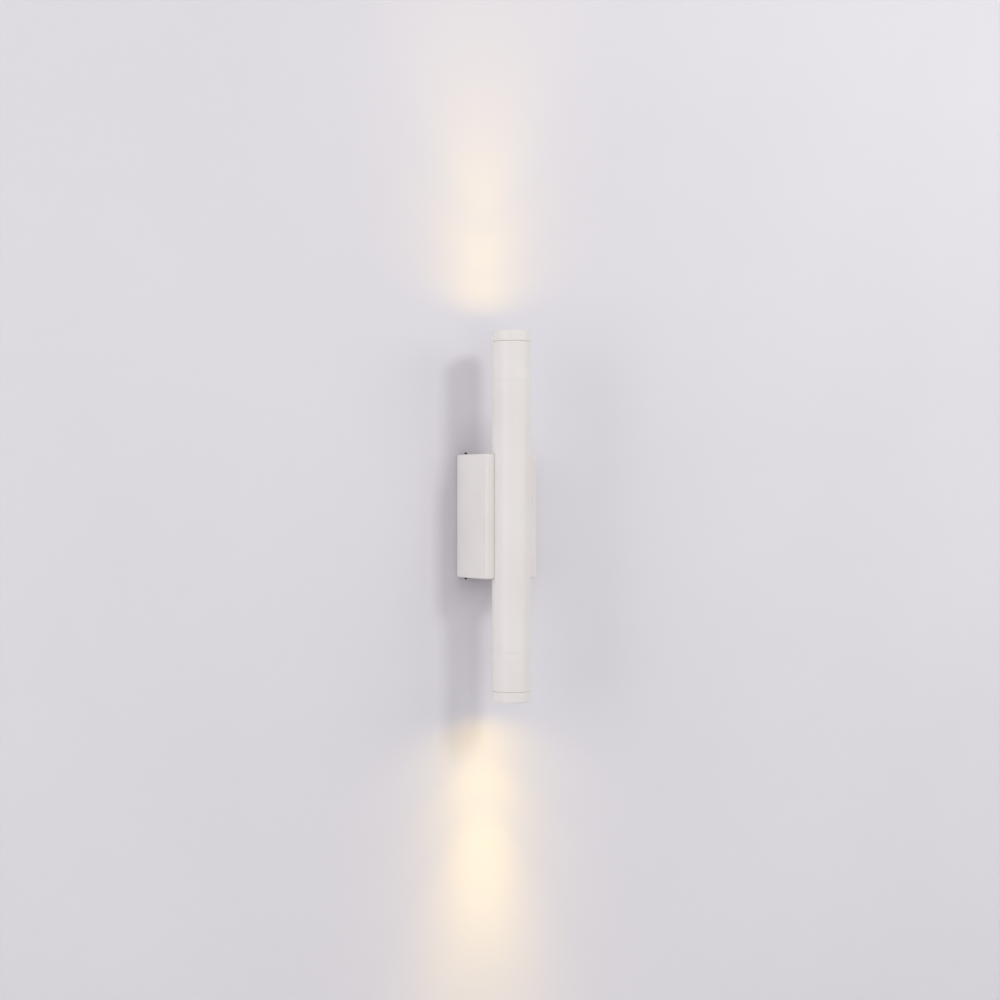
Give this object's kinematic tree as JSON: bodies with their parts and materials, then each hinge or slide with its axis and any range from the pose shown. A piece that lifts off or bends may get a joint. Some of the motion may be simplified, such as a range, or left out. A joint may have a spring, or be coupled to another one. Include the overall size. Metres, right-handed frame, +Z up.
{
  "type": "tube wall light",
  "caption": "Slim cylindrical wall light that shines up and down, half sunk in a square wall box, with screwed end rings over glass.",
  "frame": {"origin": "centre of the wall face, in the middle of the four wall holes", "axes": "+Y into the wall, +Z up along the tube, +X to the right seen from the room"},
  "size_m": [0.06, 0.08, 0.38],
  "materials": {
    "powder_coat": "satin",
    "black_screws": "satin",
    "zinc_steel": "satin",
    "spring_steel": "satin",
    "brass": "satin",
    "glass": "clear",
    "reflector": "polished",
    "lamp_board": "satin",
    "lamp": "matt",
    "black_rubber": "matt",
    "driver_plastic": "matt",
    "block_plastic": "matt",
    "grey_leads": "satin",
    "green_lead": "satin"
  },
  "bodies": {
    "wall_box": {"block_screws": "zinc_steel", "cable_grommet": "black_rubber", "cover_box": "powder_coat", "cover_screws": "black_screws", "cradle_screws": "zinc_steel", "driver_case": "driver_plastic", "driver_screws": "zinc_steel", "earth_lead": "green_lead", "earth_screw": "zinc_steel", "earth_tag": "brass", "lower_head": "powder_coat", "lower_lamp": "lamp", "lower_lamp_board": "lamp_board", "lower_lamp_leads": "grey_leads", "lower_lamp_screws": "zinc_steel", "lower_reflector": "reflector", "saddle_nuts": "zinc_steel", "supply_leads": "grey_leads", "terminal_block": "block_plastic", "terminal_screws": "brass", "tube_body": "powder_coat", "upper_head": "powder_coat", "upper_lamp": "lamp", "upper_lamp_board": "lamp_board", "upper_lamp_leads": "grey_leads", "upper_lamp_screws": "zinc_steel", "upper_reflector": "reflector", "wall_bracket": "zinc_steel", "wire_bush": "black_rubber"},
    "upper_glass_set": {"upper_glass": "glass", "upper_gasket": "black_rubber"},
    "upper_end_ring": {"upper_ring": "powder_coat", "upper_clip": "spring_steel"},
    "lower_glass_set": {"lower_glass": "glass", "lower_gasket": "black_rubber"},
    "lower_end_ring": {"lower_ring": "powder_coat", "lower_clip": "spring_steel"}
  },
  "joints": [
    {"name": "upper_ring_travel", "type": "slide", "parent": "wall_box", "child": "upper_glass_set", "axis": [0, 0, 1], "range_m": [0, 0.0075]},
    {"name": "upper_ring_turn", "type": "hinge", "parent": "upper_glass_set", "child": "upper_end_ring", "pos_m": [0, -0.06, 0.179], "axis": [0, 0, 1], "range_deg": [0, 1802]},
    {"name": "lower_ring_travel", "type": "slide", "parent": "wall_box", "child": "lower_glass_set", "axis": [0, 0, -1], "range_m": [0, 0.0075]},
    {"name": "lower_ring_turn", "type": "hinge", "parent": "lower_glass_set", "child": "lower_end_ring", "pos_m": [0, -0.06, -0.179], "axis": [0, 0, -1], "range_deg": [0, 1802]}
  ],
  "couplings": [
    {"joint": "upper_ring_turn", "follows": "upper_ring_travel", "rad_per_m": 4188.8},
    {"joint": "lower_ring_turn", "follows": "lower_ring_travel", "rad_per_m": 4188.8}
  ]
}
